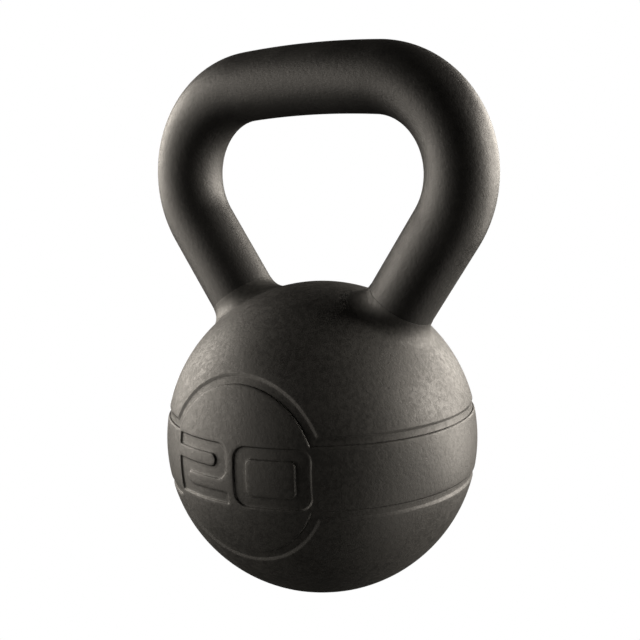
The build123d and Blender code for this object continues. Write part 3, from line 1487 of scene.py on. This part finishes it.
@dataclass(frozen=True)
class Camera:
    """Where the camera is, from a point beside the middle of the ball. Lengths are in ball radii."""

    azimuth: float = 32.83
    elevation: float = 8.83
    roll: float = -1.656
    distance: float = 6.7412
    aim_right: float = 0.0064
    aim_up: float = 0.7438
    lens: float = 58.17
    sensor: float = 36.0

    def axes(self) -> tuple[Vector, Vector, Vector]:
        """The camera's directions before it is rolled.

        Returns:
            Its level right, its up and the way back to it.
        """
        back = heading(self.azimuth, self.elevation)
        right = UP.cross(back).normalized()
        return right, back.cross(right), back

    def build(self, measures: Measures) -> None:
        """Puts the camera in the scene.

        Args:
            measures: the sizes that its place is worked out from.
        """
        right, above, back = self.axes()
        centre = Vector((0, 0, measures.centre_z)) * MM
        offset = right * self.aim_right + above * self.aim_up + back * self.distance
        place = centre + offset * measures.ball * MM
        turned = Matrix.Rotation(math.radians(self.roll), 3, back)
        columns = (turned @ right, turned @ above, back)
        data = bpy.data.cameras.new("Camera")
        data.lens = self.lens
        data.sensor_width = self.sensor
        obj = bpy.data.objects.new("Camera", data)
        obj.matrix_world = Matrix.Translation(place) @ Matrix(columns).transposed().to_4x4()
        bpy.context.scene.collection.objects.link(obj)
        bpy.context.scene.camera = obj


@dataclass(frozen=True)
class Studio:
    """The pale floor and backdrop, and the soft lights, whose azimuths are counted from the camera's."""

    camera: Camera = Camera()
    reach: float = 1.5
    lights: tuple[Softbox, ...] = (
        Softbox("left_front", -65, -10, 4.5),
        Softbox("left_side", -90, 15, 13.0),
        Softbox("left_low", -105, -10, 8.0),
        Softbox("left_rear", -125, 15, 21.0),
        Softbox("right_front", 65, -10, 3.0),
        Softbox("right_kick", 65, -40, 3.0),
        Softbox("right_side", 90, 15, 30.0),
        Softbox("right_low", 105, -10, 16.0),
        Softbox("right_rear", 130, 15, 18.0),
    )
    floor_size: float = 40.0
    pale: Colour = (1.0, 1.0, 1.0, 1.0)
    ambient: Colour = (0.004, 0.004, 0.004, 1.0)

    def pale_shader(self, tree: Tree, seen: Colour, unseen: bpy.types.NodeSocket) -> bpy.types.NodeSocket:
        """A shader that the camera sees as a plain colour, and other rays see as another shader.

        Args:
            tree: the tree to build it in.
            seen: the colour.
            unseen: the other shader.

        Returns:
            The shader.
        """
        glow = tree.add("Emission")
        glow.inputs["Color"].default_value = seen
        choose = tree.add("MixShader")
        tree.join(tree.add("LightPath").outputs["Is Camera Ray"], choose.inputs[0])
        tree.join(unseen, choose.inputs[1])
        tree.join(glow.outputs[0], choose.inputs[2])
        return choose.outputs[0]

    def build_floor(self) -> None:
        """A wide pale floor under the foot pad."""
        half = self.floor_size / 2
        corners = [Vector((x, y, 0)) for x, y in ((-half, -half), (half, -half), (half, half), (-half, half))]
        mesh = bpy.data.meshes.new("floor")
        mesh.from_pydata(corners, [], [(0, 1, 2, 3)])
        obj = bpy.data.objects.new("floor", mesh)
        bpy.context.scene.collection.objects.link(obj)
        material = bpy.data.materials.new("Floor")
        material.use_nodes = True
        tree = Tree(material.node_tree)
        glow = tree.add("Emission")
        glow.inputs["Color"].default_value = self.pale
        tree.join(glow.outputs[0], tree.add("OutputMaterial").inputs["Surface"])
        mesh.materials.append(material)
        obj.visible_diffuse = obj.visible_glossy = obj.visible_shadow = False

    def build_world(self) -> None:
        """A pale backdrop that lights the object only dimly."""
        world = bpy.data.worlds.new("Studio")
        world.use_nodes = True
        tree = Tree(world.node_tree)
        dim = tree.add("Background")
        dim.inputs["Color"].default_value = self.ambient
        shader = self.pale_shader(tree, self.pale, dim.outputs[0])
        tree.join(shader, tree.add("OutputWorld").inputs["Surface"])
        bpy.context.scene.world = world

    def build_lights(self, target: Vector) -> None:
        """Builds the softboxes.

        Args:
            target: the point that each one faces.
        """
        for box in self.lights:
            away = heading(self.camera.azimuth + box.azimuth, box.elevation)
            data = bpy.data.lights.new(box.name, "AREA")
            data.shape = "SQUARE"
            data.size = box.size
            data.energy = box.power
            data.color = box.colour
            obj = bpy.data.objects.new(f"softbox_{box.name}", data)
            obj.rotation_euler = away.to_track_quat("Z", "Y").to_euler()
            obj.location = target + away * self.reach
            obj.visible_camera = False
            bpy.context.scene.collection.objects.link(obj)

    def build(self, measures: Measures) -> None:
        """Sets up the whole studio.

        Args:
            measures: the sizes that the lights and the camera are placed by.
        """
        bpy.context.scene.view_settings.view_transform = "Standard"
        self.build_floor()
        self.build_world()
        self.build_lights(Vector((0, 0, measures.centre_z + measures.ball / 2)) * MM)
        self.camera.build(measures)
        log.info("studio with %d lights", len(self.lights))


def main() -> None:
    """Builds the kettlebell from the handle down, then the studio."""
    logging.basicConfig(level=logging.INFO, format="%(name)s: %(message)s")
    measures = Measures.from_frame()
    effects = Effects()
    finishes = {
        Slot.BAR: POWDER_COAT,
        Slot.WELD: WELD_STEEL,
        Slot.IRON: CAST_IRON,
        Slot.SHOT: SHOT_STEEL,
        Slot.JACKET: JACKET_RUBBER,
        Slot.BAND: BAND_RUBBER,
        Slot.PAD: PAD_RUBBER,
    }
    materials = {slot: finish.build(effects) for slot, finish in finishes.items()}
    handle = HandleBar(measures)
    handle.build(materials[Slot.BAR])
    outline = BandOutline(measures)
    jackets = Jackets(measures, handle, outline)
    for half in Half:
        jackets.build(half, materials[Slot.JACKET])
    WaistBand(measures, outline, Numerals(measures.disc)).build(materials[Slot.BAND])
    FootPad(measures).build(materials[Slot.PAD])
    HiddenPieces().dress(materials)
    Studio().build(measures)


if __name__ == "__main__":
    main()
